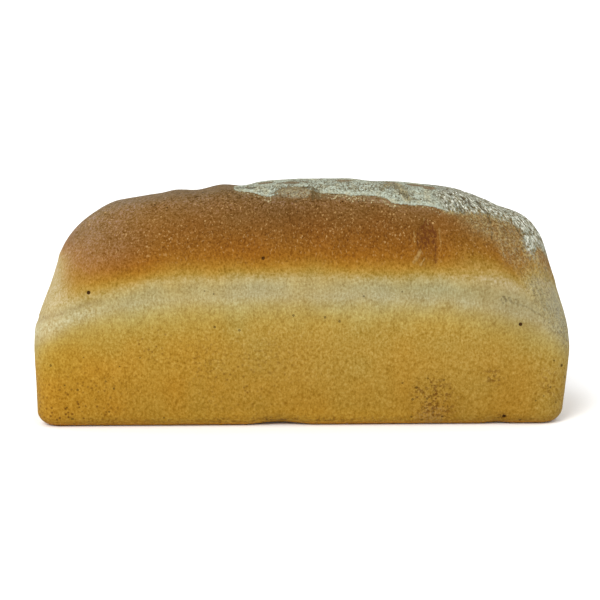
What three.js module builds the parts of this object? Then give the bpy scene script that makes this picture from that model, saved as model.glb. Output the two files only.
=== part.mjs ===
import * as THREE from 'three';
import { mergeVertices } from 'three/addons/utils/BufferGeometryUtils.js';

// A white loaf baked in an open tin. Millimetres: X runs along the loaf, Z is up,
// and the origin is the middle of the flat base. The crust is where one function,
// crustDistance, is zero: the straight lower part that the tin shaped, and the free
// dome of dough that rose out of it.

// Lower part, shaped by the tin
const baseHalfLength = 142.3;
const baseHalfWidth = 53;
const tinDepth = 66;
const tinCornerRadius = 13;
const baseEdgeRadius = 7.4;
const sideFlare = 0.045; // outward, per millimetre of height

// The line where the dough left the tin, level in the middle and lower at the ends
const contactHeight = 61;

// Free part above that line: it stands straight for a while, then leans in
const straightHeight = 16.4;
const leanSoftness = 4.3; // how gently the straight part turns into the lean
const sideLean = 0.03;
const domeCornerRadius = 40;
const domeCornerRise = 34; // height over which the corners open out
const sideShoulderRadius = 34;
const shredDepth = 0.9; // shallow hollow of the torn pale band along the two sides
const shredHeight = 24;

// Ridge of the dome
const loafHeight = 129.5;
const peakX = 2;
const ridgeReach = 115; // distance from the peak at which an end's ridgeDrop is reached
const camber = 9; // how far the top falls from the ridge to the sides
const camberPower = 2.2;

// The two ends rose differently
const leftEnd = {
  flare: 0.015, contactDroop: 20.5, droopPower: 3.2, lean: 0.4,
  shoulderRadius: 23, ridgeDrop: 13.1, ridgePower: 1.5,
};
const rightEnd = {
  flare: 0.09, contactDroop: 23, droopPower: 3.9, lean: 0.37,
  shoulderRadius: 8, ridgeDrop: 16.3, ridgePower: 3,
};
const endBlendHalfWidth = 40; // the ends' values change over within this distance of the middle

// Low swells and hollows across the top, by place along the loaf
const ridgeSwells = [
  { x: -114, height: -1.4, reach: 7 },
  { x: -73, height: 0.9, reach: 8 },
  { x: -59, height: -0.9, reach: 7 },
  { x: -45, height: 0.8, reach: 8 },
  { x: -31, height: -1.4, reach: 7 },
  { x: 42, height: -0.9, reach: 9 },
  { x: 86, height: 1.1, reach: 13 },
  { x: 112, height: -1.2, reach: 8 },
];
const swellY = 15;
const swellReachY = 32;

// Shallow arches under the long front edge of the base
const baseNotches = [
  { x: -11, halfLength: 19, height: 2.2 },
  { x: 106, halfLength: 9, height: 1 },
];
const notchInnerY = -38; // the base is flat behind this line
const notchOuterY = -52;

// Surface grid: cells along, across and up, drawn closer together near the edges
const gridCells = { along: 50, across: 20, up: 22 };
const edgeCrowding = 0.35;
const coreInset = 42; // the grid is projected outward from a box this far inside
const searchReach = 1.3; // search span, as a multiple of the way from the core to the box
const bisectionSteps = 44;

const crustColour = 0xb88a42;

function smoothStep(t) {
  const s = THREE.MathUtils.clamp(t, 0, 1);
  return s * s * (3 - 2 * s);
}

// The larger of two distances, with the edge between them rounded
function roundedMax(a, b, radius) {
  const outer = Math.hypot(Math.max(a + radius, 0), Math.max(b + radius, 0));
  return Math.min(Math.max(a, b), -radius) + outer;
}

// A value that is the left end's at one end and the right end's at the other
function endValue(name, x) {
  const share = smoothStep((x + endBlendHalfWidth) / (2 * endBlendHalfWidth));
  return THREE.MathUtils.lerp(leftEnd[name], rightEnd[name], share);
}

function contactLine(x) {
  const along = Math.abs(x) / baseHalfLength;
  const leftDroop = leftEnd.contactDroop * along ** leftEnd.droopPower;
  const rightDroop = rightEnd.contactDroop * along ** rightEnd.droopPower;
  const share = smoothStep((x + endBlendHalfWidth) / (2 * endBlendHalfWidth));
  return contactHeight - THREE.MathUtils.lerp(leftDroop, rightDroop, share);
}

function topSurface(x, y) {
  const end = x < peakX ? leftEnd : rightEnd;
  let height = loafHeight - end.ridgeDrop * (Math.abs(x - peakX) / ridgeReach) ** end.ridgePower;
  const across = Math.exp(-(((y - swellY) / swellReachY) ** 2));
  for (const swell of ridgeSwells) {
    height += swell.height * Math.exp(-(((x - swell.x) / swell.reach) ** 2)) * across;
  }
  return height - camber * (Math.abs(y) / baseHalfWidth) ** camberPower;
}

function baseSurface(x, y) {
  const towardFront = smoothStep((notchInnerY - y) / (notchInnerY - notchOuterY));
  let lift = 0;
  for (const notch of baseNotches) {
    const along = Math.min(Math.abs(x - notch.x) / notch.halfLength, 1);
    lift += notch.height * (1 - along * along) ** 2 * towardFront;
  }
  return lift;
}

// Flat up to the given height, then a straight climb, with a soft bend between
function softRamp(height) {
  const over = height - straightHeight;
  return (over + Math.hypot(over, leanSoftness)) / 2;
}

// Negative inside the loaf, zero on its crust
function crustDistance(x, y, z) {
  const free = Math.max(z - contactLine(x), 0);
  const lean = softRamp(free) - softRamp(0);
  const inTin = Math.min(z, tinDepth);
  const shred = shredDepth * Math.sin(Math.PI * Math.min(free / shredHeight, 1)) ** 2;
  const halfLength = baseHalfLength + endValue('flare', x) * inTin - endValue('lean', x) * lean;
  const halfWidth = baseHalfWidth + sideFlare * inTin - sideLean * lean - shred;
  const opened = smoothStep(free / domeCornerRise);
  const corner = THREE.MathUtils.lerp(tinCornerRadius, domeCornerRadius, opened);

  const overX = Math.abs(x) - (halfLength - corner);
  const overY = Math.abs(y) - (halfWidth - corner);
  const pastX = Math.max(overX, 0);
  const pastY = Math.max(overY, 0);
  const wall = Math.hypot(pastX, pastY) + Math.min(Math.max(overX, overY), 0) - corner;

  const endShare = (pastX * pastX) / (pastX * pastX + pastY * pastY + 1e-9);
  const shoulder = THREE.MathUtils.lerp(sideShoulderRadius, endValue('shoulderRadius', x), endShare);
  const dome = roundedMax(wall, z - topSurface(x, y), shoulder);
  return roundedMax(dome, baseSurface(x, y) - z, baseEdgeRadius);
}

// Moves grid lines from an even spacing toward the two edges
function crowdToEdges(t) {
  return THREE.MathUtils.lerp(t, Math.sin((Math.PI / 2) * t), edgeCrowding);
}

// Slides each point of a box out from an inner core until it lies on the crust
function makeCrustGeometry() {
  const halfX = baseHalfLength + endValue('flare', baseHalfLength) * tinDepth;
  const halfY = baseHalfWidth + sideFlare * tinDepth;
  const halfZ = loafHeight / 2;
  const grid = new THREE.BoxGeometry(2, 2, 2, gridCells.along, gridCells.across, gridCells.up);
  grid.deleteAttribute('normal');
  grid.deleteAttribute('uv');
  const geometry = mergeVertices(grid);
  const position = geometry.attributes.position;
  const point = new THREE.Vector3();
  const start = new THREE.Vector3();
  const coreMin = new THREE.Vector3(coreInset - halfX, coreInset - halfY, coreInset);
  const coreMax = new THREE.Vector3(halfX - coreInset, halfY - coreInset, loafHeight - coreInset);
  const onCrust = new THREE.Vector3();

  for (let i = 0; i < position.count; i += 1) {
    point.fromBufferAttribute(position, i);
    point.set(
      crowdToEdges(point.x) * halfX,
      crowdToEdges(point.y) * halfY,
      halfZ + crowdToEdges(point.z) * halfZ,
    );
    start.copy(point).clamp(coreMin, coreMax);
    let inside = 0;
    let outside = searchReach;
    for (let step = 0; step < bisectionSteps; step += 1) {
      const middle = (inside + outside) / 2;
      onCrust.lerpVectors(start, point, middle);
      if (crustDistance(onCrust.x, onCrust.y, onCrust.z) < 0) inside = middle;
      else outside = middle;
    }
    onCrust.lerpVectors(start, point, outside);
    if (onCrust.z < 1e-6) onCrust.z = 0;
    position.setXYZ(i, onCrust.x, onCrust.y, onCrust.z);
  }
  geometry.computeVertexNormals();
  return geometry;
}

const crustMaterial = new THREE.MeshStandardMaterial({ color: crustColour, roughness: 0.75, metalness: 0 });
const loaf = new THREE.Mesh(makeCrustGeometry(), crustMaterial);
loaf.name = 'loaf';

const tinLoaf = new THREE.Group();
tinLoaf.add(loaf);

export default tinLoaf;
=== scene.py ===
import itertools
import math

import bpy
import numpy as np
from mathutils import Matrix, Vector


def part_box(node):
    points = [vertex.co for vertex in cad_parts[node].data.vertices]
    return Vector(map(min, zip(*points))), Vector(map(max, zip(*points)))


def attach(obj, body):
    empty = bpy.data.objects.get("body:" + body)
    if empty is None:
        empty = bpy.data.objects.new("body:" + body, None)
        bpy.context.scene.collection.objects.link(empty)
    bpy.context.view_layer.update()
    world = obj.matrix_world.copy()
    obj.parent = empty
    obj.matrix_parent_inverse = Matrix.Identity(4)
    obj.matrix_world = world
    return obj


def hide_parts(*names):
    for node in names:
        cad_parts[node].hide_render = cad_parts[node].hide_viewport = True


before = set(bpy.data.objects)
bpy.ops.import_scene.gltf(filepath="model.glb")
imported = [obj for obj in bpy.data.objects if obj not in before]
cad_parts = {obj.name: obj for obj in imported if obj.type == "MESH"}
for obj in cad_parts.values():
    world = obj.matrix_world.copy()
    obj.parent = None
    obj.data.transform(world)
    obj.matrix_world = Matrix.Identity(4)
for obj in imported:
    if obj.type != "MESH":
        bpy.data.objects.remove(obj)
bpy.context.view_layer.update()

# A white tin loaf, dusted with flour along the top. Lengths are in millimetres here and become
# metres when a mesh is made. X runs along the loaf, -Y is its front, Z is up from the flat base.
millimetre = 0.001

loafForm = {
    # the part that the tin shaped
    "baseHalfLength": 142.3,
    "baseHalfWidth": 53,
    "tinDepth": 66,
    "tinCorner": 13,
    "baseEdge": 7.4,
    "sideFlare": 0.045,
    "rimMark": 61,  # height at which the dough left the tin, in the middle
    # the part that rose free
    "straightHeight": 16.4,
    "leanSoftness": 4.3,
    "sideLean": 0.03,
    "domeCorner": 40,
    "domeCornerRise": 34,
    "sideShoulder": 34,
    "shredDepth": 0.9,
    "shredHeight": 24,
    "peakX": 2,
    "ridgeReach": 115,
    "camber": 9,
    "camberPower": 2.2,
    "endBlend": 40,
    "left": {"flare": 0.015, "markDroop": 20.5, "droopPower": 3.2, "lean": 0.4,
             "shoulder": 23, "ridgeDrop": 13.1, "ridgePower": 1.5},
    "right": {"flare": 0.09, "markDroop": 23, "droopPower": 3.9, "lean": 0.37,
              "shoulder": 8, "ridgeDrop": 16.3, "ridgePower": 3},
    # low swells along the top: place, height, reach
    "ridgeSwells": ((-114, -1.4, 7), (-73, 0.9, 8), (-59, -0.9, 7), (-45, 0.8, 8),
                    (-31, -1.4, 7), (42, -0.9, 9), (86, 1.1, 13), (112, -1.2, 8)),
    "swellY": 15,
    "swellReachY": 32,
    # arches under the front edge of the base: place, half length, height
    "baseArches": ((-11, 19, 2.2), (106, 9, 1)),
    "archInnerY": -38,
    "archOuterY": -52,
    # surface grid: cells along, across and up
    "cells": (228, 88, 94),
    "edgeCrowding": 0.15,
    "coreInset": 42,
    "searchReach": 1.3,
    "halvings": 28,
}
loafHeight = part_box("loaf")[1].z / millimetre


def smoothStep(value, low=0.0, high=1.0):
    t = np.clip((value - low) / (high - low), 0, 1)
    return t * t * (3 - 2 * t)


def bell(value, middle, reach):
    return np.exp(-(((value - middle) / reach) ** 2))


def roundedMax(a, b, radius):
    outer = np.hypot(np.maximum(a + radius, 0), np.maximum(b + radius, 0))
    return np.minimum(np.maximum(a, b), -radius) + outer


def endValue(name, x):
    share = smoothStep(x, -loafForm["endBlend"], loafForm["endBlend"])
    return loafForm["left"][name] * (1 - share) + loafForm["right"][name] * share


def rimMark(x):
    along = np.abs(x) / loafForm["baseHalfLength"]
    left, right = loafForm["left"], loafForm["right"]
    share = smoothStep(x, -loafForm["endBlend"], loafForm["endBlend"])
    leftDroop = left["markDroop"] * along ** left["droopPower"]
    rightDroop = right["markDroop"] * along ** right["droopPower"]
    return loafForm["rimMark"] - leftDroop * (1 - share) - rightDroop * share


def topSurface(x, y):
    form = loafForm
    fromPeak = np.abs(x - form["peakX"]) / form["ridgeReach"]
    leftDrop = form["left"]["ridgeDrop"] * fromPeak ** form["left"]["ridgePower"]
    rightDrop = form["right"]["ridgeDrop"] * fromPeak ** form["right"]["ridgePower"]
    height = loafHeight - np.where(x < form["peakX"], leftDrop, rightDrop)
    for place, lift, reach in form["ridgeSwells"]:
        height = height + lift * bell(x, place, reach) * bell(y, form["swellY"], form["swellReachY"])
    return height - form["camber"] * (np.abs(y) / form["baseHalfWidth"]) ** form["camberPower"]


def baseSurface(x, y):
    lift = 0
    for place, halfLength, height in loafForm["baseArches"]:
        along = np.minimum(np.abs(x - place) / halfLength, 1)
        lift = lift + height * (1 - along * along) ** 2
    return lift * (1 - smoothStep(y, loafForm["archOuterY"], loafForm["archInnerY"]))


def softRamp(height):
    over = height - loafForm["straightHeight"]
    return (over + np.hypot(over, loafForm["leanSoftness"])) / 2


def crustDistance(x, y, z):
    # below zero inside the loaf, zero on its crust
    form = loafForm
    free = np.maximum(z - rimMark(x), 0)
    lean = softRamp(free) - softRamp(0)
    inTin = np.minimum(z, form["tinDepth"])
    shred = form["shredDepth"] * np.sin(math.pi * np.minimum(free / form["shredHeight"], 1)) ** 2
    halfLength = form["baseHalfLength"] + endValue("flare", x) * inTin - endValue("lean", x) * lean
    halfWidth = form["baseHalfWidth"] + form["sideFlare"] * inTin - form["sideLean"] * lean - shred
    opened = smoothStep(free / form["domeCornerRise"])
    corner = form["tinCorner"] + (form["domeCorner"] - form["tinCorner"]) * opened
    overX = np.abs(x) - (halfLength - corner)
    overY = np.abs(y) - (halfWidth - corner)
    pastX = np.maximum(overX, 0)
    pastY = np.maximum(overY, 0)
    wall = np.hypot(pastX, pastY) + np.minimum(np.maximum(overX, overY), 0) - corner
    endShare = pastX ** 2 / (pastX ** 2 + pastY ** 2 + 1e-9)
    shoulder = form["sideShoulder"] * (1 - endShare) + endValue("shoulder", x) * endShare
    dome = roundedMax(wall, z - topSurface(x, y), shoulder)
    return roundedMax(dome, baseSurface(x, y) - z, form["baseEdge"])


def boxShell(cells):
    # points and quads of a grid over a box from -1 to 1, with its edges shared
    number = np.zeros([count + 1 for count in cells], int)
    shell = np.zeros(number.shape, bool)
    for axis in range(3):
        for end in (0, -1):
            np.moveaxis(shell, axis, 0)[end] = True
    number[shell] = np.arange(shell.sum())
    quads = []
    for axis in range(3):
        for end in (0, -1):
            sheet = np.moveaxis(number, axis, 0)[end]
            corners = (sheet[:-1, :-1], sheet[1:, :-1], sheet[1:, 1:], sheet[:-1, 1:])
            quad = np.stack(corners, axis=-1).reshape(-1, 4)
            inward = (end == 0) != (axis == 1)
            quads.append(quad[:, ::-1] if inward else quad)
    return np.argwhere(shell) / np.array(cells) * 2 - 1, np.concatenate(quads)


def shapeCrust():
    form = loafForm
    place, quads = boxShell(form["cells"])
    place += form["edgeCrowding"] * (np.sin(math.pi / 2 * place) - place)
    half = np.array([
        form["baseHalfLength"] + form["right"]["flare"] * form["tinDepth"],
        form["baseHalfWidth"] + form["sideFlare"] * form["tinDepth"],
        loafHeight / 2,
    ])
    middle = np.array([0, 0, loafHeight / 2])
    core = place * half
    core = np.clip(core, form["coreInset"] - half, half - form["coreInset"])
    reach = place * half - core
    core += middle
    inside = np.zeros(len(place))
    outside = np.full(len(place), form["searchReach"])
    for _ in range(form["halvings"]):
        between = (inside + outside) / 2
        within = crustDistance(*(core + reach * between[:, None]).T) < 0
        inside = np.where(within, between, inside)
        outside = np.where(within, outside, between)
    points = core + reach * outside[:, None]
    points[points[:, 2] < 1e-4, 2] = 0
    return points, quads


def outwardNormals(points, step=0.4):
    slopes = []
    for axis in range(3):
        shift = np.zeros(3)
        shift[axis] = step
        slopes.append(crustDistance(*(points + shift).T) - crustDistance(*(points - shift).T))
    normals = np.stack(slopes, axis=1)
    return normals / np.linalg.norm(normals, axis=1)[:, None]


def softNoise(points, size, seed):
    # -1 to 1, changing over about one size, which may differ by axis
    lattice = np.random.default_rng(seed).uniform(-1, 1, (32, 32, 32))
    place = points / np.array(size)
    cell = np.floor(place).astype(int)
    part = smoothStep(place - cell)
    total = 0
    for corner in itertools.product((0, 1), repeat=3):
        weight = np.prod(np.where(corner, part, 1 - part), axis=1)
        total = total + weight * lattice[tuple(((cell + corner) % 32).T)]
    return total


def interpolate(value, pairs):
    places, heights = zip(*pairs)
    return np.interp(value, places, heights)


def ellipse(u, v, place, reach, turn=0.0):
    # 1 in the middle of an ellipse, 0 on its edge, below zero outside
    c, s = math.cos(math.radians(turn)), math.sin(math.radians(turn))
    along = (u - place[0]) * c + (v - place[1]) * s
    across = (v - place[1]) * c - (u - place[0]) * s
    return 1 - np.hypot(along / reach[0], across / reach[1])


# What marks the crust. Heights called "over" are over the rim mark, places are along the loaf.
crustMarks = {
    # how far the browning starts later or sooner along the loaf: place, shift, reach
    "lateBrowning": ((-110, -1.8, 15), (108, 4, 22)),
    # how fast the crust browns with height on the left end: place, share of the usual rate
    "leftRate": ((-142, 0), (-130, 0.1), (-122, 0.5), (-110, 0.8), (-96, 1), (150, 1)),
    "domeFoot": 19,  # browning height where the left end's slow rate sets in
    "rightDelay": 10,  # how much higher the browning starts on the right end
    "unevenTint": (0.02, -0.04, -0.18),  # red, green and blue where the unevenness is strongest
    "footTint": (0.36, 0.10, -0.12),  # the same down at the base
    "footHeight": 3,
    # the torn spot on the front of the dome: its left and right edges by height
    "scarLeft": ((24, 62.6), (29, 62), (37, 62.2), (44, 62.5), (47, 64.4), (51, 68)),
    "scarRight": ((24, 73.2), (40, 73.4), (44.5, 73.2), (47.5, 71.6), (51, 69)),
    # the lip of dough on the left, and the crease over it
    "lip": {"to": -96, "fade": 22, "over": 11, "reach": 3.4, "creaseOver": 15.5, "creaseReach": 1.2},
    "roughPatch": {"place": (-2, -32), "reach": (12.5, 6.5)},
    # unevenness of the skyline: place, height, reach
    "ridgeFolds": ((-131, 0.5, 6), (-77, -0.5, 5), (-64, 0.45, 5), (-51, -0.45, 6), (29, 0.3, 8)),
    # where the front is pitted, freckled and crumbly: kind of height, place, reach, share
    "pitted": (
        ("over", (72, -45), (17, 17), 1), ("over", (108, -49), (7, 5), 0.75),
        ("over", (103, -28), (10, 9), 0.6), ("over", (-50, -25), (26, 28), 0.35),
        ("z", (-10, 3), (140, 5), 0.5), ("over", (-15, -25), (46, 30), 0.3),
        ("over", (134, -22), (14, 24), 0.4),
    ),
    "freckled": (
        ("over", (-122, -40), (40, 28), 1), ("over", (-76, -12), (18, 13), 0.8),
        ("over", (-34, -36), (34, 26), 0.6),
    ),
    "crumbly": (("z", (70, 6), (11, 7), 1),),
    # open pores on the front: place, height over the base, radius
    "pores": (
        (-111, 73.5, 1), (-18.7, 91.2, 0.85), (117.4, 55.1, 0.95), (140.5, 32.1, 0.75),
        (-44.7, 54.6, 0.6), (-2.9, 60.6, 0.6), (13.8, 59.5, 0.6), (21.4, 57.3, 0.6),
        (-114.7, 38.6, 0.35), (-132.4, 34.3, 0.6), (-125.2, 23.4, 0.45), (-118.5, 20.9, 0.6),
        (-103.3, 25.5, 0.5), (-99, 21.5, 0.6), (-137.7, 59.4, 0.5), (-84.6, 38.3, 0.4),
        (-95.7, 33.6, 0.4), (-102, 8.7, 0.45), (-124.5, 11.2, 0.45), (-121.8, 4.5, 0.65),
        (-72.7, 5.1, 0.5), (60, 4.7, 0.6), (109.7, 4.5, 1), (118.6, 1.9, 0.7),
        (68.2, 14.9, 0.6), (76.4, 4.6, 0.6), (65.6, 2.6, 0.6), (55, 23.6, 0.5),
        (77.1, 25.1, 0.5), (-49.8, 73.9, 0.35), (-45, 72.3, 0.4), (54.6, 72.9, 0.35),
        (34.3, 70.6, 0.5), (-31.6, 52.8, 0.6), (134.2, 20.7, 0.5), (130.6, 16, 0.4),
        (126.4, 13.4, 0.4), (138, 11.9, 0.5), (135.8, 35.3, 0.45), (62.5, 21, 0.6),
        (60.5, 14.5, 0.6), (71.8, 7.6, 0.5), (68.5, 26, 0.45),
    ),
    # pores scattered over the back and the ends
    "scatteredPores": 70,
    "scatteredRadius": (0.4, 0.9),
    "scatterSeed": 40,
}
wellOutside = -10  # millimetres, for what lies well outside a mark
farOff = 50.0  # millimetres, for what has no pore near it

# Soft differences of colour: place along, height over the rim mark, reach of both, tint
crustTints = (
    (-122, -26, 40, 34, (1.07, 0.92, 0.5)),
    (-62, -26, 34, 34, (1.03, 0.99, 0.8)),
    (112, -26, 15, 44, (0.98, 0.89, 0.68)),
    (125, -30, 40, 40, (0.94, 0.96, 1.02)),
    (-85, 15, 34, 7, (1.04, 1.02, 0.94)),
    (68, 15, 36, 6, (0.9, 0.96, 1)),
    (120, 11, 22, 12, (0.88, 0.86, 0.84)),
    (-80, 54, 20, 8, (1.22, 1.22, 1.14)),
    (-98, 66, 30, 6, (1.08, 1.06, 1.06)),
    (130, 27, 7, 9, (0.86, 0.84, 0.82)),
    (-4, 55, 24, 9, (0.82, 0.8, 0.75)),
    (-107, 32, 10, 14, (1.08, 1.08, 1.04)),
    (-141, -2, 9, 9, (1.06, 1.09, 1.3)),
    (-82, 27, 16, 6, (0.98, 0.88, 0.65)),
    (-130, -10, 12, 8, (1, 0.96, 0.75)),
    (111, 28, 9, 6, (0.96, 1.06, 1.5)),
    (111.5, 22.5, 3.5, 2.5, (1.1, 1.12, 1.2)),
    (77, -52, 17, 12, (0.9, 0.87, 0.9)),
    (-124, -52, 14, 10, (1.05, 1.04, 1.02)),
    (36, 45, 30, 9, (0.93, 0.88, 0.76)),
    (-119, 29, 10, 9, (1, 1.02, 1.26)),
    (-127, 37, 6, 9, (1.02, 1.03, 1.24)),
    (-134, 16, 8, 10, (1.02, 1.03, 1.1)),
    (139, 14, 8, 14, (1, 1.05, 1.2)),
    (131, 38, 7, 8, (1.12, 1.25, 1.9)),
    (138, 26, 5, 9, (1.06, 1.22, 1.75)),
    (92, 27.5, 15, 4.5, (1, 1.12, 1.7)),
    (90, 40, 16, 7, (1, 1.12, 1.32)),
    (95, 33.5, 12, 4, (1.06, 1.3, 2.1)),
    (111, 36, 5, 5, (0.93, 0.85, 0.6)),
)

# The flour along the top and on the right end
flourShape = {
    # its front edge: place and height over the rim mark
    "edge": (
        (-44, 70), (-36.8, 69), (-35.6, 65), (-33, 64), (-28.6, 63.6), (-24, 63), (-19, 61.6),
        (-15.5, 61), (-12, 62), (-9, 64), (5, 64.5), (8.5, 63.6), (12.5, 62.6), (25, 62.2),
        (28, 61.2), (41, 61.2), (47, 60.5), (50, 58), (63, 57.2), (71, 57.1), (76, 56), (81, 55),
        (88, 56), (100, 57), (115, 56), (124, 53), (134, 47), (140, 44),
    ),
    "backLag": 2.5,
    # worn places: place along, place across, reach along, reach across, turn, wear
    "worn": (
        (-17.5, -11, 5.5, 5, 0, 1), (25.5, -13, 5.5, 6, 0, 1), (51, -10.5, 4.5, 5, 0, 1),
        (64.5, -12, 6, 5.5, 15, 1), (72, -16, 4, 7, -10, 1), (-3, -19, 5, 3, 0, 1),
        (-2, -32, 12.5, 6, 0, 1), (50, -23, 6.5, 8, 0, 0.55), (-4, -17, 12, 5, 0, 0.6),
        (-8, -26, 9, 3, 20, 0.5), (-4, 12, 16, 5, 15, 0.9), (38, 20, 12, 4, -20, 0.9),
        (72, 9, 9, 5, 30, 0.8),
    ),
    # the places between which the flour becomes combed, and the thin dusting begins
    "combFrom": (73, 85),
    "dustFrom": (67, 79),
    # where the thin dusting on the right end stops: place and height over the rim mark
    "dustEdge": ((72, 58), (78, 56), (84, 52), (92, 46), (102, 41), (109, 35.5), (114, 29),
                 (119, 20.5), (126, 11), (134, 4), (150, 2)),
    # where it lies thicker: place along, height over the rim mark, reach of both, how much
    "thicker": ((124, 50, 3.5, 6, 0.42), (82, 60, 7, 4, 0.2), (143, 10, 6, 14, 0.06)),
    # streaks run outward from a centre, so much outward to so much down
    "fanCentre": (68, 20),
    "fanSlope": (0.8, 0.6),
    "fanRadius": 55,
    "streakWidth": 1.7,
}


def fanCoordinates(points):
    # how far across and along the streaks that run down the right shoulder
    dx = points[:, 0] - flourShape["fanCentre"][0]
    dy = points[:, 1] - flourShape["fanCentre"][1]
    outward, downward = flourShape["fanSlope"]
    along = np.hypot(dx, dy) * outward - points[:, 2] * downward
    return np.stack([np.arctan2(dy, dx) * flourShape["fanRadius"], along, dx * 0], axis=1)


def measureBrowning(crust):
    # the height over the rim mark that the browning goes by: lower where it came late
    points, x, over = crust["form"], crust["x"], crust["over"]
    late = sum(shift * bell(x, place, reach) for place, shift, reach in crustMarks["lateBrowning"])
    late = late + 1.2 * softNoise(points, (24, 40, 60), 11) + 0.5 * softNoise(points, (7, 7, 9), 12)
    aboveBand = smoothStep(over, 8, 20)
    bake = over - late * aboveBand
    rightEnd = np.where(x > 0, smoothStep(crust["facesEnd"], 0.3, 0.72), 0)
    bake = bake - crustMarks["rightDelay"] * rightEnd * smoothStep(over, 10, 34)
    slow = 1 - interpolate(x + 2 * softNoise(points, 7, 37), crustMarks["leftRate"])
    bake = bake - np.maximum(bake - crustMarks["domeFoot"], 0) * slow * (1 - smoothStep(over, 42, 58))
    crust["bake"] = bake + 1.2 * softNoise(points, (26, 40, 60), 13) * (1 - aboveBand)


def measureTint(crust):
    points = crust["form"]
    tint = np.ones((len(points), 3))
    for place, height, reach, spread, colour in crustTints:
        weight = bell(crust["x"], place, reach) * bell(crust["over"], height, spread)
        tint *= 1 + weight[:, None] * (np.array(colour) - 1)
    uneven = np.clip(0.6 * softNoise(points, 30, 31) + 0.8 * softNoise(points, 11, 32), -1, 1)
    tint *= 1 + uneven[:, None] * np.array(crustMarks["unevenTint"])
    foot = 1 - smoothStep(crust["z"], 0, crustMarks["footHeight"])
    tint *= 1 + foot[:, None] * np.array(crustMarks["footTint"])
    crust["tint"] = tint


def measureFlour(crust):
    # millimetres inside the flour's edge along the surface, and how worn the flour is
    points, x, y = crust["form"], crust["x"], crust["y"]
    crust["behind"] = behind = smoothStep(y, -12, 22)
    ragged = x - behind * (9 + 8 * softNoise(points, 9, 41))
    edge = interpolate(ragged, flourShape["edge"]) + flourShape["backLag"] * (1 - crust["front"])
    crust["inward"] = inward = (crust["over"] - edge) / crust["steepness"]
    flour = np.minimum(inward + 0.5 * softNoise(points, 5, 24), 2.5 - 7 * smoothStep(y, 10, 36))
    crust["flour"] = np.where(crust["upward"], flour, wellOutside)
    thin = 0.18 * softNoise(points, 9, 22) + 0.13 * softNoise(points, 4, 23)
    wear = smoothStep(inward, 1.5, 5) * (0.31 - 0.15 * bell(x, 70, 8) + thin)
    uneven = 0.2 * softNoise(points, 3, 34) + 0.3 * smoothStep(y, -18, -8) * softNoise(points, 6, 42)
    for u, v, reachU, reachV, turn, worn in flourShape["worn"]:
        patch = ellipse(x, y, (u, v), (reachU, reachV), turn) + uneven
        wear = np.maximum(wear, worn * smoothStep(patch, -0.1, 0.35))
    crust["wear"] = np.clip(wear, 0, 1)
    patch = ellipse(x, y, crustMarks["roughPatch"]["place"], crustMarks["roughPatch"]["reach"])
    patch = smoothStep(patch + 0.25 * softNoise(points, 4, 25), 0, 0.4)
    crust["rough"] = patch * crust["front"] * crust["upward"]


def measureDusting(crust):
    # how much of the right end is covered, where its flour is combed, and the fringe on the left
    points, x, over, inward = crust["form"], crust["x"], crust["over"], crust["inward"]
    crust["fan"] = fanCoordinates(points)
    streaks = softNoise(crust["fan"], (flourShape["streakWidth"], 9, 1), 21)
    ragged = x + 3 * softNoise(points, 5, 39)
    crust["comb"] = comb = smoothStep(ragged, *flourShape["combFrom"])
    crust["streaks"] = streaks * comb
    wander = (1.5 + 8 * crust["behind"]) * softNoise(points, 10, 40)
    dusty = (over - interpolate(x + wander, flourShape["dustEdge"])) / crust["steepness"]
    dusty = dusty / (1 + 1.5 * crust["behind"])
    crust["combed"] = comb * smoothStep(dusty, -3, 12)
    cover = 0.02 * softNoise(points, 9, 26) + 0.03 * streaks
    cover = cover + 0.08 * smoothStep(dusty, -13, 0) + 0.12 * smoothStep(dusty, -3, 9)
    cover = cover + 0.25 * smoothStep(inward, -3, 3) + 0.10 * smoothStep(inward, 4, 12)
    for place, height, reach, spread, more in flourShape["thicker"]:
        cover = cover + more * bell(x, place, reach) * bell(over, height, spread)
    dusted = smoothStep(ragged, *flourShape["dustFrom"]) * (1 - crust["wear"] * (1 - comb))
    crust["cover"] = np.clip(cover, 0, 1) * dusted
    fringe = smoothStep(inward, -7, 0) * smoothStep(over, 45, 55) * smoothStep(x, -60, -30)
    fringe = fringe * (0.5 + 0.7 * softNoise(points, 8, 33) + 1.7 * bell(x, 38, 12))
    crust["fringe"] = np.clip(np.maximum(fringe, 0.5 * crust["rough"]) * (1 - comb), 0, 1)


def measureLeftEnd(crust):
    # pale film of fine flour and dried dough with painted sheen, the pale end under it, and the lip
    # over the rim
    points, x, over = crust["form"], crust["x"], crust["over"]
    # painted sheen: the left end of the dome paler and greyer where light grazes it, partly a thin
    # dusting
    film = smoothStep(-x, 70, 124) * smoothStep(over, 24, 42)
    crust["film"] = film * (0.85 + 0.25 * softNoise(points, 14, 27))
    onEnd = smoothStep(-x + 1.8 * softNoise(points, 7, 35), 117, 136)
    upper = smoothStep(over + 3 * softNoise(points, 6, 36), 34, 54)
    crust["pale"] = onEnd * smoothStep(over, 0, 9) * (1 - upper)
    lip = crustMarks["lip"]
    along = (1 - smoothStep(x, lip["to"] - lip["fade"], lip["to"])) * crust["front"]
    # the lip is painted pale, with a painted highlight where it catches the light
    crust["lip"] = along * bell(over, lip["over"], lip["reach"])
    # where the crease lies: a groove in the relief, and painted shadow in the colour
    crease = bell(over + 0.8 * softNoise(points, 6, 29), lip["creaseOver"], lip["creaseReach"])
    crust["lipCrease"] = along * crease


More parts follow.
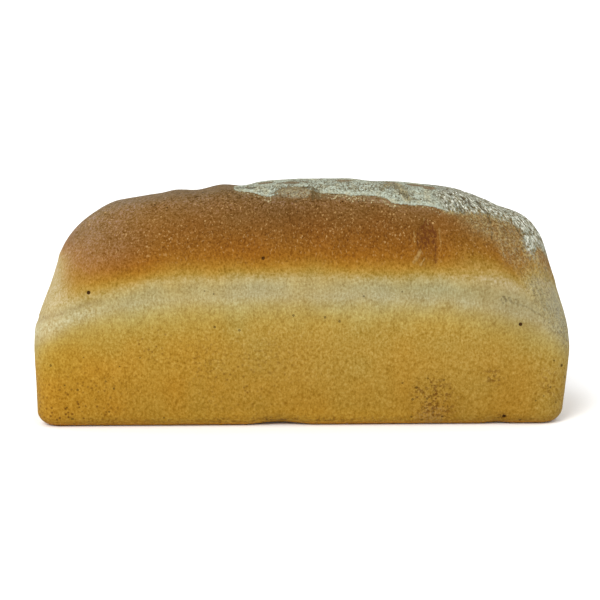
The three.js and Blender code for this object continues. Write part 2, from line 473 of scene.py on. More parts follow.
def measureScar(crust):
    # millimetres inside the torn spot, and how deep it is
    x, over = crust["x"], crust["over"]
    foot, top = crustMarks["scarLeft"][0][0], crustMarks["scarLeft"][-1][0]
    fromLeft = x - interpolate(over, crustMarks["scarLeft"])
    fromRight = interpolate(over, crustMarks["scarRight"]) - x
    inside = np.minimum.reduce([fromLeft, fromRight, over - foot, top - over])
    crust["scar"] = np.where(crust["front"] > 0.5, inside, wellOutside)
    depth = np.maximum(0.3 + 0.7 * smoothStep(over, 33, 38), 0.85 * smoothStep(x, 71, 72.4))
    crust["scarDepth"] = depth * smoothStep(over, foot, foot + 4)


def strongest(crust, spots):
    # the strongest of several ellipses at every point
    shares = [share * ellipse(crust["x"], crust[measure], place, reach)
              for measure, place, reach, share in spots]
    return np.max(shares, axis=0)


def measurePits(crust):
    # how pitted the crust is, how freckled with fine pores, and how crumbly
    points, front = crust["form"], crust["front"]
    hidden = (0.8 * softNoise(points, 30, 30) - 0.1) * (1 - front) * (crust["over"] < 0)
    pitted = np.clip(strongest(crust, crustMarks["pitted"]) * front + hidden, 0, 1)
    freckled = 1.1 * strongest(crust, crustMarks["freckled"]) * front
    crust["pitted"] = pitted
    crust["freckled"] = np.clip(np.maximum(pitted, freckled) + 0.05, 0, 1)
    crumbly = strongest(crust, crustMarks["crumbly"]) + 0.3 * softNoise(points, 3, 38)
    crust["crumbly"] = smoothStep(crumbly, 0, 0.5) * front


def measureCrust(points, normals):
    # everything that the relief and the colours are worked out from
    x, y, z = points.T
    crust = {"form": points, "x": x, "y": y, "z": z, "over": z - rimMark(x)}
    crust["steepness"] = np.sqrt(np.clip(1 - normals[:, 2] ** 2, 0.04, 1))
    crust["upward"] = normals[:, 2] > 0
    crust["facesEnd"] = np.abs(normals[:, 0]) / np.hypot(normals[:, 0], normals[:, 1]).clip(1e-6)
    crust["front"] = smoothStep(-y, -4, 4)
    for measure in (measureBrowning, measureTint, measureFlour, measureDusting, measureLeftEnd,
                    measureScar, measurePits):
        measure(crust)
    return crust


# relief of the crust, in millimetres
crustRelief = {
    # bumps by zone: size, seed, height
    "bumps": {
        "everywhere": ((38, 1, 0.2), (17, 2, 0.1)),
        "tin": ((4.6, 3, 0.07), (2.8, 4, 0.06)),
        "dome": (((5, 5, 7), 5, 0.07), (2.8, 6, 0.06)),
        "band": (((2.8, 2.8, 14), 7, 0.1),),
    },
    "shoulderStreaks": 0.3,
    "shoulderBumps": 0.12,
    # the dome's lower edge and the groove under it: height over the rim mark, reach, height
    "domeEdge": ((24.5, 3, 0.2), (20.5, 1.8, -0.16)),
    "scar": 0.45,
    "lip": 0.5,
    "lipCrease": 0.4,
    "roughPatch": 0.25,
    "pits": 0.3,
    "flour": 0.15,
    "footHeight": 6,  # the relief dies away toward the base below this
}


def reliefOf(points, crust):
    # how far the crust stands out or in along its normal
    size = crustRelief
    over = crust["over"]
    tin = 1 - smoothStep(over, -2, 7)
    dome = smoothStep(over, 18, 30)
    zones = {"everywhere": 1, "tin": tin, "dome": dome, "band": 1 - np.maximum(tin, dome)}
    relief = 0
    for zone, bumps in size["bumps"].items():
        for reach, seed, height in bumps:
            relief = relief + zones[zone] * height * softNoise(points, reach, seed)
    for place, lift, reach in crustMarks["ridgeFolds"]:
        relief = relief + lift * bell(crust["x"], place, reach) * smoothStep(over, 40, 58)
    shoulder = smoothStep(crust["x"], 72, 92) * smoothStep(over, 10, 34)
    relief = relief + shoulder * size["shoulderStreaks"] * crust["streaks"]
    relief = relief + shoulder * size["shoulderBumps"] * softNoise(points, 3, 8)
    sharp = 0.4 + 0.6 * smoothStep(softNoise(points, (30, 80, 80), 9), -0.3, 0.4)
    for middle, reach, height in size["domeEdge"]:
        relief = relief + sharp * height * bell(crust["bake"], middle, reach)
    relief = relief - size["scar"] * smoothStep(crust["scar"], -0.6, 1) * crust["scarDepth"]
    relief = relief + size["lip"] * crust["lip"] - size["lipCrease"] * crust["lipCrease"]
    relief = relief + crust["rough"] * (0.1 + size["roughPatch"] * softNoise(points, (4, 2.6, 3), 14))
    relief = relief - size["pits"] * crust["pitted"] * np.clip(softNoise(points, 2.6, 15), 0, 1)
    relief = relief + size["flour"] * smoothStep(crust["flour"], -0.5, 1)
    return relief * smoothStep(crust["z"], 0, size["footHeight"])


def openPores(points):
    # for every point the way from the nearest pore, in pore radii, how far off it is, how dark the
    # painted shade in it is, and the hollow that the pores make
    draw = np.random.default_rng(crustMarks["scatterSeed"])
    pores = []
    front = np.flatnonzero(points[:, 1] < -20)
    for place, height, radius in crustMarks["pores"]:
        gap = np.hypot(points[front, 0] - place, points[front, 2] - height)
        depthwise = points[front[np.argmin(gap)], 1]
        pores.append(((place, depthwise, height), radius))
    hidden = np.flatnonzero((points[:, 1] > 20) | (np.abs(points[:, 0]) > 141))
    for nearest in draw.choice(hidden, crustMarks["scatteredPores"], replace=False):
        pores.append((points[nearest], draw.uniform(*crustMarks["scatteredRadius"])))
    away = np.full((len(points), 3), farOff)
    gap = np.full(len(points), farOff)
    tone = np.zeros(len(points))
    hollow = np.zeros(len(points))
    for centre, radius in pores:
        offset = points - np.array(centre)
        distance = np.linalg.norm(offset, axis=1)
        nearer = distance < gap
        away[nearer] = offset[nearer] / radius
        gap[nearer] = distance[nearer]
        tone[nearer] = 0.42 + 0.58 * smoothStep(radius, 0.5, 1)
        hollow = np.maximum(hollow, radius * bell(distance, 0, 0.9 + radius * 0.5))
    return away, gap, tone, hollow


def makeMesh(name, vertices, faces, fields, material):
    mesh = bpy.data.meshes.new(name)
    mesh.from_pydata((vertices * millimetre).tolist(), [], faces.tolist())
    for label, values in fields.items():
        vector = values.ndim == 2
        field = mesh.attributes.new(label, "FLOAT_VECTOR" if vector else "FLOAT", "POINT")
        field.data.foreach_set("vector" if vector else "value", values.astype(np.float32).ravel())
    mesh.polygons.foreach_set("use_smooth", [True] * len(mesh.polygons))
    mesh.materials.append(material)
    piece = bpy.data.objects.new(name, mesh)
    bpy.context.scene.collection.objects.link(piece)
    return piece


def connect(socket, value):
    if isinstance(value, bpy.types.NodeSocket):
        socket.id_data.links.new(value, socket)
    else:
        socket.default_value = value


def newNode(kind, *values):
    # a node in the tree that the sockets among the values belong to
    sockets = [value for value in values if isinstance(value, bpy.types.NodeSocket)]
    return sockets[0].id_data.nodes.new(kind)


def calculate(operation, *values):
    node = newNode("ShaderNodeMath", *values)
    node.operation = operation
    for socket, value in zip(node.inputs, values):
        connect(socket, value)
    return node.outputs[0]


def multiply(first, *others):
    product = first
    for value in others:
        product = calculate("MULTIPLY", product, value)
    return product


def addShare(total, value, share):
    return calculate("MULTIPLY_ADD", value, share, total)


def centred(noise):
    return calculate("SUBTRACT", noise, 0.5)


def vectorMath(operation, first, second, output="Vector"):
    node = newNode("ShaderNodeVectorMath", first, second)
    node.operation = operation
    connect(node.inputs[0], first)
    connect(node.inputs["Scale" if operation == "SCALE" else 1], second)
    return node.outputs[output]


def fade(value, low, high, toLow=0.0, toHigh=1.0):
    node = newNode("ShaderNodeMapRange", value)
    node.interpolation_type = "SMOOTHSTEP"
    connect(node.inputs["Value"], value)
    limits = {"From Min": low, "From Max": high, "To Min": toLow, "To Max": toHigh}
    for name, limit in limits.items():
        node.inputs[name].default_value = limit
    return node.outputs["Result"]


def mixColour(share, first, second, blend="MIX"):
    node = newNode("ShaderNodeMix", share, first, second)
    node.data_type = "RGBA"
    node.blend_type = blend
    connect(node.inputs[0], share)
    connect(node.inputs[6], first)
    connect(node.inputs[7], second)
    return node.outputs[2]


def noiseOver(place, sizes, detail=2.0, roughness=0.5, output="Fac"):
    node = newNode("ShaderNodeTexNoise", place)
    node.inputs["Scale"].default_value = 1
    node.inputs["Detail"].default_value = detail
    node.inputs["Roughness"].default_value = roughness
    connect(node.inputs["Vector"], vectorMath("DIVIDE", place, sizes))
    return node.outputs[output]


def bend(place, along, size, strength):
    # moves a place this way and that, by three unlike noises at once
    noises = noiseOver(along, (size, size, size), output="Color")
    shift = vectorMath("SUBTRACT", noises, (0.5, 0.5, 0.5))
    return vectorMath("ADD", place, vectorMath("SCALE", shift, strength))


def speckles(place, sizes, low, high, share):
    # dots, one to a cell, in the given share of the cells: 1 in a dot, 0 off it
    node = newNode("ShaderNodeTexVoronoi", place)
    node.inputs["Scale"].default_value = 1
    connect(node.inputs["Vector"], vectorMath("DIVIDE", place, sizes))
    split = newNode("ShaderNodeSeparateColor", place)
    connect(split.inputs[0], node.outputs["Color"])
    chosen = fade(split.outputs[0], 1 - share, 1 - share + 0.02)
    return multiply(fade(node.outputs["Distance"], high, low), chosen)


def veins(place, sizes, width):
    # thin winding lines: 1 along them, 0 off them
    away = centred(noiseOver(place, sizes, 1))
    return fade(calculate("ABSOLUTE", away), width, 0)


def strokes(place, marks):
    # 1 on straight thin marks, each given as from, to, half width and strength, and 0 off them
    total = 0
    for start, end, halfWidth, strength in marks:
        along = Vector(end) - Vector(start)
        offset = vectorMath("SUBTRACT", place, start)
        reached = vectorMath("DOT_PRODUCT", offset, along.normalized(), "Value")
        reached = calculate("MINIMUM", calculate("MAXIMUM", reached, 0), along.length)
        foot = vectorMath("SCALE", along.normalized(), reached)
        gap = vectorMath("DISTANCE", offset, foot, "Value")
        near = fade(gap, halfWidth * 1.6, halfWidth * 0.4, 0, strength)
        total = calculate("MAXIMUM", total, near)
    return total


# thin marks on the crust: from, to, half width, strength
thinMarks = {
    # furrows and folds are drawn dark, as painted shade in their creases
    "furrows": (
        ((81.9, -10.9, 124.2), (83, -26.6, 121.4), 0.6, 1),
        ((88.8, -25.5, 120.5), (90.6, -31.4, 117.6), 0.7, 1),
        ((92.3, -28.6, 118.5), (93.8, -34.2, 115.1), 0.7, 1),
        ((96.1, -25.7, 118.5), (98.6, -32, 115.4), 0.7, 1),
        ((98.6, -32, 115.4), (101.7, -35.7, 112.2), 0.6, 0.9),
        ((101.7, -35.7, 112.2), (103, -40, 107.9), 0.5, 0.8),
        ((103, -40, 107.9), (102.8, -46.6, 100), 0.4, 0.6),
        ((86.6, -35.4, 116), (88.7, -38.6, 113), 0.9, 0.7),
        ((77.4, -30.8, 120.6), (79.4, -34.9, 117.9), 0.5, 0.8),
        ((80.5, -34.6, 117.9), (82, -38.2, 114.9), 0.5, 0.8),
        ((83.7, -30.2, 119.7), (85, -35.5, 116.3), 0.5, 0.8),
        ((115.6, -34.7, 107.7), (118.1, -38.3, 102.9), 0.5, 0.8),
        ((118.1, -38.3, 102.9), (121.1, -39.8, 98.7), 0.45, 0.7),
        ((122.6, -22.6, 109.1), (126.2, -33.5, 100.2), 0.5, 0.8),
    ),
    "folds": (
        ((2.9, -28.1, 126.3), (7.2, -27.9, 126.4), 1, 1),
        ((7.2, -27.9, 126.4), (10.7, -31.4, 124.8), 0.9, 0.9),
        ((10.2, -30.4, 124.8), (10.9, -36.4, 121.6), 1.6, 0.7),
        ((7.8, -31.8, 124.6), (8.1, -37.4, 120.9), 0.8, 0.9),
        ((-7.9, -34.4, 122.7), (1.2, -31.2, 124.9), 0.4, 0.6),
        ((-33.3, -18.2, 126), (-24.3, -23.7, 126.1), 1.5, 1),
        ((44.7, -29.9, 124.7), (46.2, -28, 125.2), 0.7, 0.9),
        ((47.6, -31.3, 123.8), (53.6, -30.6, 123.7), 0.4, 0.5),
        ((53.6, -29.4, 124), (55.6, -31.6, 123.2), 0.7, 0.7),
        ((108, -55.4, 70.2), (109.6, -55.2, 67.4), 0.5, 0.6),
        ((107, -55.4, 68.6), (108.2, -55.2, 66.2), 0.4, 0.5),
        ((111.2, -55.4, 69.2), (112.6, -55.1, 67), 0.45, 0.5),
        ((114.2, -55.4, 68.6), (115.8, -55.1, 66.8), 0.4, 0.3),
        ((113.4, -55.1, 66.6), (123, -54.9, 63.2), 0.5, 0.3),
        ((123, -54.9, 63), (129.6, -54.1, 58.5), 0.5, 0.35),
    ),
    "scratches": (
        ((60.6, -55.1, 88.4), (63.9, -53.8, 93.8), 0.9, 0.7),
        ((64.1, -55.3, 86.8), (66.3, -54.6, 90.4), 0.5, 0.7),
        ((61, -49.6, 104.6), (61.2, -52, 99.2), 0.4, 0.5),
        ((74.4, -47.6, 105.6), (75, -51, 99.5), 0.4, 0.45),
        ((75, -51, 99.5), (74.6, -54.8, 88.3), 0.35, 0.35),
        ((66.5, -44.6, 110.6), (66.7, -46.2, 108.2), 0.35, 0.5),
        ((68.6, -44.8, 110.2), (68.8, -46.6, 107.8), 0.35, 0.5),
    ),
    # a worn arch in the flour
    "arch": (
        ((45, -29, 125), (48.3, -21.2, 127), 1, 0.6),
        ((48.3, -21.2, 127), (53, -15.5, 127.3), 3.6, 1),
        ((53, -15.5, 127.3), (55.2, -24.6, 125.9), 3.6, 1),
        ((54.8, -24.6, 125.9), (57.4, -31, 123.2), 2.6, 0.95),
        ((57.4, -31, 123.2), (59.1, -36, 119.8), 2.2, 0.95),
    ),
}

crustFinish = {
    # noises: size along, across and up in millimetres, detail, roughness
    "noises": {
        "grain": ((1, 1, 1.4), 2, 0.65),
        "pebble": ((1.9, 1.9, 1.7), 3, 0.6),
        "cloud": ((9, 9, 8), 2, 0.5),
        "powder": ((1.2, 1.8, 1.2), 3, 0.65),
        "fibres": ((1.1, 1.1, 6), 2, 0.5),
        "crestGrain": ((1.7, 6, 1.8), 2, 0.6),
        "smallSpecks": ((0.95, 0.95, 2), 2, 0.6),
        "ribs": ((1.1, 1.1, 3.4), 2, 0.6),
        "pits": ((2.1, 2.1, 1.7), 3, 0.6),
        "holes": ((1, 2.8, 1), 3, 0.65),
        "flourTone": ((1, 2.4, 1), 2, 0.6),
        "warmth": ((4, 9, 4), 2, 0.6),
        "archTone": ((1.3, 4, 3), 2, 0.5),
    },
    # noises of the right shoulder, across and along its streaks
    "fanNoises": {
        "combing": ((1.5, 9, 1), 2, 0.6),
        "crumble": ((0.8, 1.7, 1), 2, 0.65),
        "loose": ((1.1, 3.2, 1), 3, 0.7),
        "ridges": ((0.95, 3.3, 1), 2, 0.7),
    },
    # dots: size of a cell, where a dot starts to fade and is gone, share of the cells with a dot
    "dots": {
        "largeSpecks": ((8, 8, 9), 0.05, 0.1, 0.28),
        "finePores": ((2.4, 2.4, 2.4), 0.14, 0.38, 0.75),
        "strayGrains": ((1.1, 2.2, 1.3), 0.08, 0.5, 0.85),
        "flourDots": ((1.5, 4.2, 1.9), 0.14, 0.46, 0.75),
    },
    # winding lines: size of their bends, and their width as a share of the noise
    "veins": {
        "winding": ((1.6, 1.6, 1.8), 0.07),
        "cracks": ((2.4, 3.2, 2.2), 0.06),
        "crumbs": ((1.1, 2.6, 1), 0.06),
    },
    # how far places wander: size of the wandering, and its strength
    "crumbleBend": (2.4, 2.4),
    "ridgeBend": (2.4, 1.8),
    "markBend": (1.8, 1.6),
    # baking in the tin and in the open: height over the rim mark, colour
    "browning": (
        (-60, (0.299, 0.164, 0.0159)),
        (-50, (0.249, 0.139, 0.016)),
        (-35, (0.262, 0.152, 0.021)),
        (-20, (0.274, 0.165, 0.026)),
        (-10, (0.278, 0.178, 0.0327)),
        (-4, (0.284, 0.194, 0.0421)),
        (1, (0.289, 0.214, 0.0603)),
        (5, (0.281, 0.218, 0.0772)),
        (10, (0.286, 0.239, 0.1172)),
        (15, (0.277, 0.228, 0.1048)),
        (19, (0.303, 0.234, 0.0927)),
        (21, (0.288, 0.201, 0.059)),
        (23, (0.268, 0.165, 0.029)),
        (26, (0.238, 0.121, 0.0127)),
        (31, (0.188, 0.075, 0.0048)),
        (36, (0.163, 0.062, 0.0046)),
        (42, (0.141, 0.055, 0.0053)),
        (47, (0.131, 0.054, 0.0075)),
        (53, (0.126, 0.057, 0.011)),
        (58, (0.135, 0.067, 0.0181)),
        (64, (0.114, 0.068, 0.0216)),
    ),
    # how ragged the edges of the browning are, in millimetres
    "edgeGrain": 2.8,
    "edgeCloud": 2.4,
    # the film: a thin dusting with painted sheen
    "dustAndSheenColour": (0.38, 0.3, 0.185),
    "paleColour": (0.385, 0.318, 0.168),
    # pale dough of the lip, with a painted highlight
    "paleLipAndHighlight": (0.39, 0.35, 0.2),
    "flourColour": (0.412, 0.46, 0.38),
    "warmFlour": (0.4, 0.39, 0.27),
    "flourShadow": (0.16, 0.165, 0.115),
    "combedShadow": (0.19, 0.158, 0.088),
    "dustColour": (0.215, 0.178, 0.08),
    "roughColour": (0.25, 0.24, 0.165),
    "scarColour": (0.086, 0.026, 0.0035),
    "scratchColour": (0.3, 0.195, 0.065),
    "grainColour": (0.46, 0.39, 0.18),
    "fringeColour": (0.44, 0.4, 0.225),
    "ridgeColour": (0.66, 0.67, 0.57),
    "archColour": (0.29, 0.238, 0.115),
    # painted shade: under the flour's edge and in the gaps between crumbs
    "gapShadeColour": (0.095, 0.055, 0.012),
    # painted shade in the slots between the flour ridges
    "slotShadeColour": (0.125, 0.094, 0.034),
    "underFlour": (0.14, 0.112, 0.058),
    "dotColour": (0.105, 0.085, 0.04),
    # painted shade inside the open pores
    "poreShadeColour": (0.032, 0.01, 0.0005),
    # pits, and the painted shadow in the crease over the lip
    "pitAndCreaseShadowColour": (0.125, 0.05, 0.004),
    # painted shade in furrows and folds
    "furrowShadeColour": (0.07, 0.048, 0.017),
    # pale flecks, partly painted glints
    "speckAndGlintColour": (0.4, 0.25, 0.1),
    "finePoreColour": (0.1, 0.036, 0.002),
    "crumbColour": (0.25, 0.15, 0.048),
    "roughness": 0.62,
    "flourRoughness": 0.92,
    "sheen": 0.05,  # specular level
    # small relief: what stands out, or in where the share is below zero
    "bumps": (
        ("pebble", 0.7), ("grain", 0.25), ("powder", 0.2), ("denseShade", 0.8), ("dots", -0.8),
        ("crumbled", 0.6), ("slots", -1), ("crests", 0.6), ("pits", -0.6), ("furrows", -1),
        ("scratches", 0.5), ("scarred", -0.6), ("pores", -1.5), ("combing", 1.8),
    ),
    "bumpDepth": 0.0006,  # metres
}

# what the mesh carries for its colours
carriedNumbers = (
    "bake", "flour", "wear", "cover", "rough", "fringe", "comb", "combed", "film", "pale",
    "scar", "scarDepth", "lip", "lipCrease", "pitted", "freckled", "crumbly", "poreGap", "poreTone",
)
carriedVectors = ("form", "tint", "fan", "poreAway")


def colourOf(name):
    return (*crustFinish[name], 1)


def coat(colour, share, name):
    # lays one of the colours over what is there
    return mixColour(share, colour, colourOf(name))


def noiseOf(layers, name):
    # one of the noises above, laid along the loaf or along the shoulder's streaks
    if name in crustFinish["fanNoises"]:
        return noiseOver(layers["fan"], *crustFinish["fanNoises"][name])
    return noiseOver(layers["form"], *crustFinish["noises"][name])


def dotsOf(layers, name):
    return speckles(layers["form"], *crustFinish["dots"][name])


def shadeBy(colour, factors):
    # multiplies red, green and blue by a factor each
    shade = newNode("ShaderNodeCombineColor", colour)
    for socket, factor in zip(shade.inputs, factors):
        connect(socket, factor)
    return mixColour(1, colour, shade.outputs[0], "MULTIPLY")


def brownCrust(layers):
    # the browning by height, with a grainy edge
    finish = crustFinish
    warped = addShare(layers["bake"], layers["grain"], finish["edgeGrain"])
    warped = addShare(warped, layers["cloud"], finish["edgeCloud"])
    warped = calculate("SUBTRACT", warped, (finish["edgeGrain"] + finish["edgeCloud"]) / 2)
    ramp = newNode("ShaderNodeValToRGB", warped)
    stops = ramp.color_ramp.elements
    browning = finish["browning"]
    lowest, highest = browning[0][0], browning[-1][0]
    for height, colour in browning[1:-1]:
        stops.new((height - lowest) / (highest - lowest))
    for stop, (height, colour) in zip(stops, browning):
        stop.color = (*colour, 1)
    risen = calculate("SUBTRACT", warped, lowest)
    connect(ramp.inputs["Fac"], multiply(risen, 1 / (highest - lowest)))
    return mixColour(1, ramp.outputs["Color"], layers["tint"], "MULTIPLY")


def paleLeftEnd(colour, layers):
    colour = coat(colour, multiply(layers["pale"], 0.6), "paleColour")
    # the film on the left end of the dome: painted sheen, partly a thin dusting of flour
    film = multiply(layers["film"], fade(layers["grain"], 0.3, 0.7, 0.13, 0.27))
    colour = coat(colour, film, "dustAndSheenColour")
    # the lip: pale dough with a painted highlight
    lip = multiply(layers["lip"], fade(layers["pebble"], 0.38, 0.62, 0.05, 0.6))
    return coat(colour, lip, "paleLipAndHighlight")


def mottle(colour, layers):
    # pebbled on the tin's side, a finer grain on the dome, fibres in the band between
    bake = layers["bake"]
    onDome = fade(bake, 15, 28)
    inBand = multiply(fade(bake, -13, 4), fade(bake, 22, 16))
    onCrest = fade(bake, 50, 60)
    grainShare = addShare(fade(bake, 20, 40, 1.35, 2.2), onCrest, 0.9)
    grainShare = addShare(grainShare, layers["film"], -1.2)
    grainShare = addShare(grainShare, inBand, -0.25)
    winding = calculate("SUBTRACT", veins(layers["form"], *crustFinish["veins"]["winding"]), 0.3)
    fibre = centred(noiseOf(layers, "fibres"))
    crestGrain = centred(noiseOf(layers, "crestGrain"))
    shade = 1
    for pattern, share in (
        (centred(layers["pebble"]), fade(inBand, 0, 1, 1, 0.6)),
        (centred(layers["grain"]), grainShare),
        (winding, fade(onDome, 0, 1, 0.1, 0.22)),
        (fibre, multiply(inBand, 0.4)),
        (crestGrain, multiply(onCrest, 1.6)),
        (centred(layers["cloud"]), fade(bake, -16, 6, 0.1, 0.46)),
    ):
        shade = addShare(shade, pattern, share)
    powers = (0.75, 1, fade(inBand, 0, 1, 2.4, 1.5))  # dark grains are also redder
    return shadeBy(colour, [calculate("POWER", shade, power) for power in powers])


def addSpecks(colour, layers):
    # light specks on the dome: pale flecks in the crust, partly painted glints
    small = fade(noiseOf(layers, "smallSpecks"), 0.58, 0.7)
    small = multiply(small, fade(layers["pebble"], 0.4, 0.6, 0.2, 0.75))
    large = multiply(dotsOf(layers, "largeSpecks"), 0.7)
    specks = calculate("MAXIMUM", small, large)
    return coat(colour, multiply(specks, fade(layers["bake"], 20, 42)), "speckAndGlintColour")


def addScar(colour, layers):
    scar = addShare(layers["scar"], layers["pebble"], 2)
    layers["scarred"] = multiply(fade(scar, 0.6, 1.8), layers["scarDepth"])
    ribs = fade(noiseOf(layers, "ribs"), 0.43, 0.58, 1, 0.22)
    return coat(colour, multiply(layers["scarred"], ribs), "scarColour")


def addPits(colour, layers):
    # crumbs at the foot, pits, painted shadow in the crease over the lip, and fine pores
    crumbs = multiply(layers["crumbly"], fade(layers["grain"], 0.45, 0.6, 0.1, 0.6))
    colour = coat(colour, crumbs, "crumbColour")
    pits = fade(noiseOf(layers, "pits"), 0.53, 0.63)
    pits = multiply(pits, fade(layers["pitted"], 0.05, 0.6, 0, 0.8))
    # painted shadow along the crease over the lip, drawn with the pits' colour
    crease = multiply(layers["lipCrease"], fade(layers["pebble"], 0.42, 0.62, 0, 0.4))
    layers["pits"] = calculate("MAXIMUM", pits, crease)
    colour = coat(colour, layers["pits"], "pitAndCreaseShadowColour")
    finePores = multiply(dotsOf(layers, "finePores"), layers["freckled"],
                         fade(layers["bake"], 16, 8, 0, 0.9))
    return coat(colour, finePores, "finePoreColour")


def addDusting(colour, layers):
    # thin dusting on the rough patch and the right end, and painted shadow under the flour's edge
    cracks = veins(layers["form"], *crustFinish["veins"]["cracks"])
    cracked = calculate("SUBTRACT", layers["powder"], cracks)
    layers["dusted"] = multiply(layers["rough"], fade(cracked, 0.1, 0.6, 0, 0.64))
    colour = coat(colour, layers["dusted"], "roughColour")
    colour = coat(colour, fade(layers["cover"], 0, 0.5, 0, 0.5), "dustColour")
    layers["combing"] = multiply(centred(noiseOf(layers, "combing")), layers["combed"])
    # painted shade: the colour darker in the combed streaks' grooves and lighter on their ridges
    colour = shadeBy(colour, [addShare(1, layers["combing"], 0.45)] * 3)
    # painted shadow along the foot of the flour's edge
    nearRim = multiply(fade(layers["flour"], -2.2, -1), fade(layers["pebble"], 0.35, 0.6, 0, 0.5),
                       layers["smooth"])
    return coat(colour, nearRim, "gapShadeColour")


def scatterGrains(colour, layers):
    # stray grains under the flour's edge, and crumbled ones in the dusting with painted shade in the
    # gaps between them
    finish, cover = crustFinish, layers["cover"]
    veil = multiply(layers["fringe"], fade(layers["pebble"], 0.35, 0.6, 0.02, 0.2))
    colour = coat(colour, veil, "roughColour")
    fringe = calculate("ADD", layers["fringe"], centred(layers["powder"]))
    grains = multiply(dotsOf(layers, "strayGrains"), fade(fringe, 0.2, 0.52),
                      fade(layers["grain"], 0.4, 0.58, 0.3, 0.95))
    colour = coat(colour, grains, "fringeColour")
    bentFan = bend(layers["fan"], layers["form"], *finish["crumbleBend"])
    crumble = noiseOver(bentFan, *finish["fanNoises"]["crumble"])
    # the gaps between crumbs: crust showing through, darkened with painted shade
    gaps = multiply(fade(crumble, 0.48, 0.38), fade(cover, 0.04, 0.3, 0, 0.74))
    colour = coat(colour, gaps, "gapShadeColour")
    crumbs = veins(bentFan, *finish["veins"]["crumbs"])
    crumbled = calculate("MAXIMUM", crumbs, fade(crumble, 0.54, 0.62))
    layers["crumbled"] = multiply(crumbled, fade(cover, 0.04, 0.35, 0, 0.62))
    return coat(colour, layers["crumbled"], "grainColour")


def layFlour(colour, layers):
    # the dense layer along the top, and the loose flour that thins out on the right shoulder
    powder, cover, flour, wear = (layers[name] for name in ("powder", "cover", "flour", "wear"))
    powdered = centred(powder)
    layer = multiply(fade(addShare(flour, powdered, 2.5), -0.3, 0.5), layers["smooth"])
    under = multiply(layer, fade(wear, 0.7, 1, 0.85, 0.4))
    colour = coat(colour, under, "underFlour")
    holes = addShare(noiseOf(layers, "holes"), wear, -0.42)
    layer = multiply(layer, fade(holes, 0.22, 0.3))
    loose = addShare(noiseOf(layers, "loose"), powdered, 0.8)
    loose = fade(addShare(loose, cover, 0.55), 0.64, 0.74)
    layers["dense"] = calculate("MAXIMUM", layer, multiply(loose, fade(cover, 0.1, 0.5)))
    layers["denseShade"] = multiply(layers["dense"], fade(powder, 0.3, 0.6, 0.7, 1),
                                    fade(flour, 1, 4, 1, 0.9))
    tone = centred(noiseOf(layers, "flourTone"))
    tone = multiply(tone, fade(flour, 1, 4, 0.4, 1))
    warm = fade(noiseOf(layers, "warmth"), 0.45, 0.65, 0, 0.8)
    warm = mixColour(warm, colourOf("flourColour"), colourOf("warmFlour"))
    shadow = mixColour(layers["comb"], colourOf("flourShadow"), colourOf("combedShadow"))
    tone = mixColour(fade(tone, -0.17, 0.12), shadow, warm)
    return mixColour(layers["denseShade"], colour, tone)


def combFlour(colour, layers):
    # ridges and slots on the right shoulder, with painted shade in the slots, and dark dots in the
    # flour
    bentFan = bend(layers["fan"], layers["form"], *crustFinish["ridgeBend"])
    ridges = noiseOver(bentFan, *crustFinish["fanNoises"]["ridges"])
    thick = fade(layers["cover"], 0.26, 0.5, 0, 0.95)
    layers["crests"] = multiply(fade(ridges, 0.51, 0.58, 0, 0.95), thick)
    layers["slots"] = multiply(fade(ridges, 0.45, 0.38, 0, 0.9), thick)
    colour = coat(colour, layers["crests"], "ridgeColour")
    # painted shade in the slots between the flour ridges
    colour = coat(colour, layers["slots"], "slotShadeColour")
    layers["dots"] = multiply(dotsOf(layers, "flourDots"), fade(layers["flour"], 1, 3, 0, 0.8),
                              fade(layers["powder"], 0.65, 0.45, 0.3, 1))
    return coat(colour, layers["dots"], "dotColour")


def drawMarks(colour, layers):
    # the worn arch, painted shade in furrows and folds, scratches, and painted shade in pores
    powder = layers["powder"]
    bent = bend(layers["form"], layers["form"], *crustFinish["markBend"])
    arch = multiply(strokes(bent, thinMarks["arch"]), fade(powder, 0.35, 0.6, 1, 0.6))
    archTone = fade(noiseOf(layers, "archTone"), 0.44, 0.62)
    archTone = mixColour(archTone, colourOf("dotColour"), colourOf("archColour"))
    colour = mixColour(arch, colour, archTone)
    layers["furrows"] = strokes(bent, thinMarks["furrows"] + thinMarks["folds"])
    # painted shade along the furrows and folds
    furrows = multiply(layers["furrows"], fade(powder, 0.35, 0.6, 0.95, 0.6))
    colour = coat(colour, furrows, "furrowShadeColour")
    layers["scratches"] = strokes(bent, thinMarks["scratches"])
    scratches = multiply(layers["scratches"], fade(layers["grain"], 0.35, 0.55, 0.35, 0.9))
    colour = coat(colour, scratches, "scratchColour")
    radii = vectorMath("LENGTH", layers["poreAway"], (0, 0, 0), "Value")
    layers["pores"] = multiply(fade(radii, 1.1, 0.7), fade(layers["poreGap"], 1.9, 1.6))
    # painted shade inside the open pores
    return coat(colour, multiply(layers["pores"], layers["poreTone"]), "poreShadeColour")


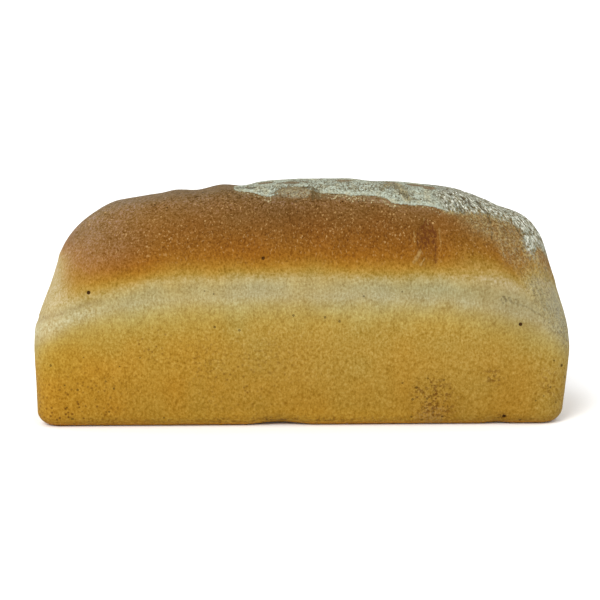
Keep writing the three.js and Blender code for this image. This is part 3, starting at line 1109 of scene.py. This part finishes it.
def finishCrust():
    finish = crustFinish
    material = bpy.data.materials.new("bakedCrust")
    material.use_nodes = True
    tree = material.node_tree
    shader = tree.nodes["Principled BSDF"]
    layers = {}
    for name in carriedNumbers + carriedVectors:
        measured = tree.nodes.new("ShaderNodeAttribute")
        measured.attribute_name = name
        layers[name] = measured.outputs["Vector" if name in carriedVectors else "Fac"]
    layers["smooth"] = fade(layers["comb"], 0, 1, 1, 0)  # off the combed shoulder
    for name in ("grain", "pebble", "cloud", "powder"):
        layers[name] = noiseOf(layers, name)

    colour = brownCrust(layers)
    for paint in (paleLeftEnd, mottle, addSpecks, addScar, addPits, addDusting, scatterGrains,
                  layFlour, combFlour, drawMarks):
        colour = paint(colour, layers)
    connect(shader.inputs["Base Color"], colour)
    shader.inputs["Specular IOR Level"].default_value = finish["sheen"]
    floury = calculate("MAXIMUM", layers["dense"], layers["dusted"])
    rough = fade(floury, 0, 1, finish["roughness"], finish["flourRoughness"])
    connect(shader.inputs["Roughness"], rough)

    height = 0
    for name, share in finish["bumps"]:
        height = addShare(height, layers[name], share)
    bump = tree.nodes.new("ShaderNodeBump")
    bump.inputs["Strength"].default_value = 1
    bump.inputs["Distance"].default_value = finish["bumpDepth"]
    connect(bump.inputs["Height"], height)
    connect(shader.inputs["Normal"], bump.outputs["Normal"])
    return material


def bakeCrust():
    form, quads = shapeCrust()
    normals = outwardNormals(form)
    crust = measureCrust(form, normals)
    crust["poreAway"], crust["poreGap"], crust["poreTone"], hollow = openPores(form)
    points = form + normals * (reliefOf(form, crust) - hollow)[:, None]
    fields = {name: crust[name] for name in carriedNumbers + carriedVectors}
    piece = makeMesh("bakedCrust", points, quads, fields, finishCrust())
    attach(piece, "root")
    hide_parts("loaf")


print("baking the crust")
bakeCrust()

studio = {
    "skyColour": (1, 1, 1),
    "skyStrength": 1.1,
    "sunFrom": (-0.6, -1.1, 1.0),  # to the left of the loaf, ahead of it and above
    "sunStrength": 2.2,
    "sunSoftness": 24,  # degrees across
    "sunColour": (1, 0.98, 0.95),
    "floorRadius": 5,
    "floorColour": (0.93, 0.93, 0.93),
    "floorRoughness": 0.9,
    "floorSheen": 0.1,  # specular level
    "floorGap": 0.0002,  # metres between the floor and the base
}

view = {
    "distance": 0.8,
    "elevation": 8,  # degrees
    "around": (0, 0, 0.06),
    "aim": (0.0006, 0, 0.0612),
    "tilt": -0.356,  # degrees
    "lens": 84.53,  # millimetres
    "sensor": 36,  # millimetres
}


def lightStudio():
    world = bpy.data.worlds.new("studio")
    world.use_nodes = True
    sky = world.node_tree.nodes["Background"]
    sky.inputs["Color"].default_value = (*studio["skyColour"], 1)
    sky.inputs["Strength"].default_value = studio["skyStrength"]
    bpy.context.scene.world = world
    lamp = bpy.data.lights.new("sun", "SUN")
    lamp.energy = studio["sunStrength"]
    lamp.angle = math.radians(studio["sunSoftness"])
    lamp.color = studio["sunColour"]
    sun = bpy.data.objects.new("sun", lamp)
    sun.location = studio["sunFrom"]
    sun.rotation_euler = Vector(studio["sunFrom"]).to_track_quat("Z", "Y").to_euler()
    bpy.context.scene.collection.objects.link(sun)


def layFloor():
    material = bpy.data.materials.new("floorPaper")
    material.use_nodes = True
    shader = material.node_tree.nodes["Principled BSDF"]
    shader.inputs["Base Color"].default_value = (*studio["floorColour"], 1)
    shader.inputs["Roughness"].default_value = studio["floorRoughness"]
    shader.inputs["Specular IOR Level"].default_value = studio["floorSheen"]
    bpy.ops.mesh.primitive_circle_add(vertices=96, radius=studio["floorRadius"], fill_type="NGON",
                                      location=(0, 0, -studio["floorGap"]))
    floor = bpy.context.object
    floor.name = "floor"
    floor.data.materials.append(material)


def placeCamera():
    rise = math.radians(view["elevation"])
    away = Vector((0, -math.cos(rise), math.sin(rise))) * view["distance"]
    lens = bpy.data.cameras.new("camera")
    lens.lens = view["lens"]
    lens.sensor_width = view["sensor"]
    camera = bpy.data.objects.new("camera", lens)
    camera.location = Vector(view["around"]) + away
    look = (Vector(view["aim"]) - camera.location).to_track_quat("-Z", "Y").to_matrix()
    camera.rotation_euler = look.to_euler()
    camera.rotation_euler.rotate_axis("Z", math.radians(view["tilt"]))
    bpy.context.scene.collection.objects.link(camera)
    bpy.context.scene.camera = camera


print("lighting the studio")
lightStudio()
layFloor()
print("placing the camera")
placeCamera()
bpy.context.scene.view_settings.view_transform = "Standard"
